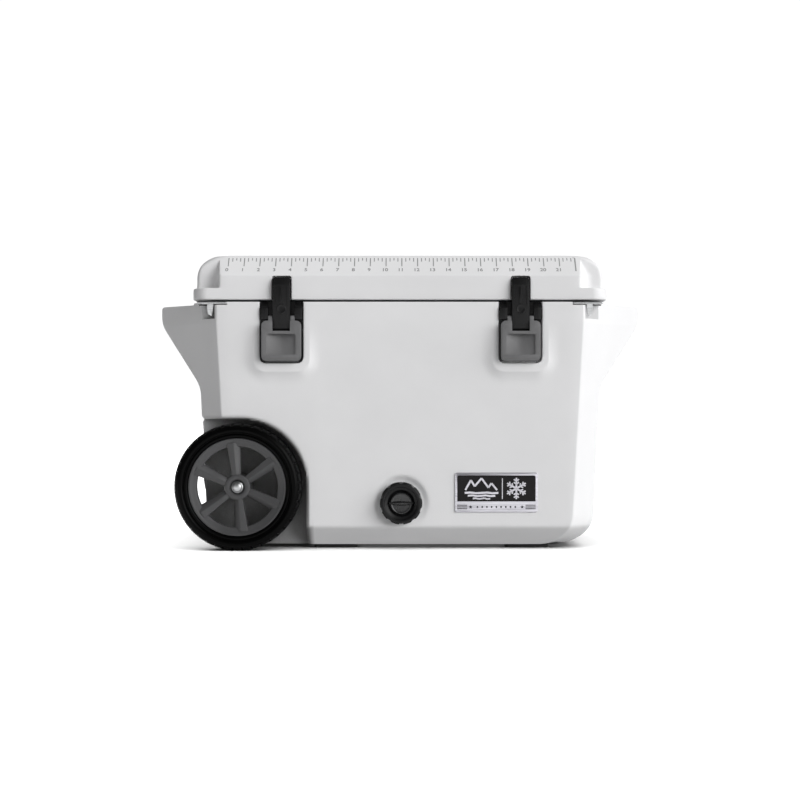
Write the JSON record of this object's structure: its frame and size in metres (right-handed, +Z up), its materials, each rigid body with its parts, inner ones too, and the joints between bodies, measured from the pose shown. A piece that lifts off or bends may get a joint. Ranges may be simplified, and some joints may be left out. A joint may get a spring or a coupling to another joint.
{
  "type": "wheeled cool box",
  "caption": "Hard-sided insulated cool box with a hinged lid, draw latches, moulded end grips, a front drain and wheels on a fixed axle.",
  "frame": {"origin": "on the floor below the middle of the closed box", "axes": "+X along the length, away from the wheels; +Y from the front with the latches to the rear hinges; +Z up"},
  "size_m": [0.792, 0.442, 0.474],
  "materials": {
    "shell_polyethylene": "fine pebbled moulding",
    "insulating_foam": "foamed",
    "black_nylon": "satin moulded",
    "grey_nylon": "satin moulded",
    "seal_rubber": "matt",
    "tyre_rubber": "satin sidewall",
    "rim_polypropylene": "satin moulded",
    "zinc_steel": "plated",
    "badge_aluminium": "brushed"
  },
  "bodies": {
    "root": {"body_shell": "shell_polyethylene", "body_fill_plug": "shell_polyethylene", "body_foam": "insulating_foam", "latch_base_left": "black_nylon", "latch_base_right": "black_nylon", "hinge_body_leaf_left": "black_nylon", "hinge_body_leaf_right": "black_nylon", "drain_nut": "black_nylon", "drain_fitting": "grey_nylon", "foot_front_left": "seal_rubber", "foot_front_right": "seal_rubber", "foot_rear_left": "seal_rubber", "foot_rear_right": "seal_rubber", "axle": "zinc_steel", "axle_sleeve": "zinc_steel", "axle_spacer_front": "zinc_steel", "axle_spacer_rear": "zinc_steel", "axle_cap_front": "zinc_steel", "axle_cap_rear": "zinc_steel", "latch_pivot_left_left": "zinc_steel", "latch_pivot_left_right": "zinc_steel", "latch_pivot_right_left": "zinc_steel", "latch_pivot_right_right": "zinc_steel", "hinge_pin_left": "zinc_steel", "hinge_pin_right": "zinc_steel", "lock_plate_left": "zinc_steel", "lock_plate_right": "zinc_steel", "badge_plate": "badge_aluminium"},
    "lid": {"lid_shell": "shell_polyethylene", "lid_foam": "insulating_foam", "lid_fill_plug": "shell_polyethylene", "lid_gasket": "seal_rubber", "hinge_lid_leaf_left": "black_nylon", "hinge_lid_leaf_right": "black_nylon", "lid_screw_left": "zinc_steel", "lid_screw_right": "zinc_steel"},
    "lever_left": {"latch_lever_left": "grey_nylon", "latch_strap_pin_left": "zinc_steel"},
    "strap_left": {"latch_strap_left": "black_nylon"},
    "lever_right": {"latch_lever_right": "grey_nylon", "latch_strap_pin_right": "zinc_steel"},
    "strap_right": {"latch_strap_right": "black_nylon"},
    "wheel_front": {"tyre_front": "tyre_rubber", "wheel_rim_front": "rim_polypropylene", "wheel_bush_front_inner": "black_nylon", "wheel_bush_front_outer": "black_nylon"},
    "wheel_rear": {"tyre_rear": "tyre_rubber", "wheel_rim_rear": "rim_polypropylene", "wheel_bush_rear_inner": "black_nylon", "wheel_bush_rear_outer": "black_nylon"},
    "drain_seal": {"drain_cap_seal": "seal_rubber"},
    "drain_cap": {"drain_cap": "black_nylon"},
    "drain_plug": {"drain_plug": "grey_nylon", "drain_plug_oring": "seal_rubber"}
  },
  "joints": [
    {"name": "lid_hinge", "type": "hinge", "parent": "root", "child": "lid", "pos_m": [0, 0.213, 0.3983], "axis": [-1, 0, 0], "range_deg": [0, 105]},
    {"name": "latch_lever_left_swing", "type": "hinge", "parent": "root", "child": "lever_left", "pos_m": [-0.1896, -0.206, 0.3722], "axis": [-1, 0, 0], "range_deg": [0, 65]},
    {"name": "latch_strap_left_swing", "type": "hinge", "parent": "lever_left", "child": "strap_left", "pos_m": [-0.1896, -0.205, 0.3562], "axis": [1, 0, 0], "range_deg": [0, 85]},
    {"name": "latch_lever_right_swing", "type": "hinge", "parent": "root", "child": "lever_right", "pos_m": [0.1928, -0.206, 0.3722], "axis": [-1, 0, 0], "range_deg": [0, 65]},
    {"name": "latch_strap_right_swing", "type": "hinge", "parent": "lever_right", "child": "strap_right", "pos_m": [0.1928, -0.205, 0.3562], "axis": [1, 0, 0], "range_deg": [0, 85]},
    {"name": "wheel_front_spin", "type": "hinge", "parent": "root", "child": "wheel_front", "pos_m": [-0.2595, -0.192, 0.1016], "axis": [0, 1, 0], "continuous": true},
    {"name": "wheel_rear_spin", "type": "hinge", "parent": "root", "child": "wheel_rear", "pos_m": [-0.2595, 0.192, 0.1016], "axis": [0, 1, 0], "continuous": true},
    {"name": "drain_cap_travel", "type": "slide", "parent": "root", "child": "drain_seal", "axis": [0, -1, 0], "range_m": [0, 0.01]},
    {"name": "drain_cap_turn", "type": "hinge", "parent": "drain_seal", "child": "drain_cap", "pos_m": [0.0018, -0.198, 0.075], "axis": [0, -1, 0], "range_deg": [0, 720]},
    {"name": "drain_plug_turn", "type": "hinge", "parent": "drain_cap", "child": "drain_plug", "pos_m": [0.0018, -0.203, 0.075], "axis": [0, -1, 0], "range_deg": [0, 90]}
  ],
  "couplings": [
    {"joint": "latch_strap_left_swing", "follows": "latch_lever_left_swing", "ratio": 1.3},
    {"joint": "latch_strap_right_swing", "follows": "latch_lever_right_swing", "ratio": 1.3},
    {"joint": "drain_cap_travel", "follows": "drain_cap_turn", "m_per_rad": 0.00079577}
  ]
}
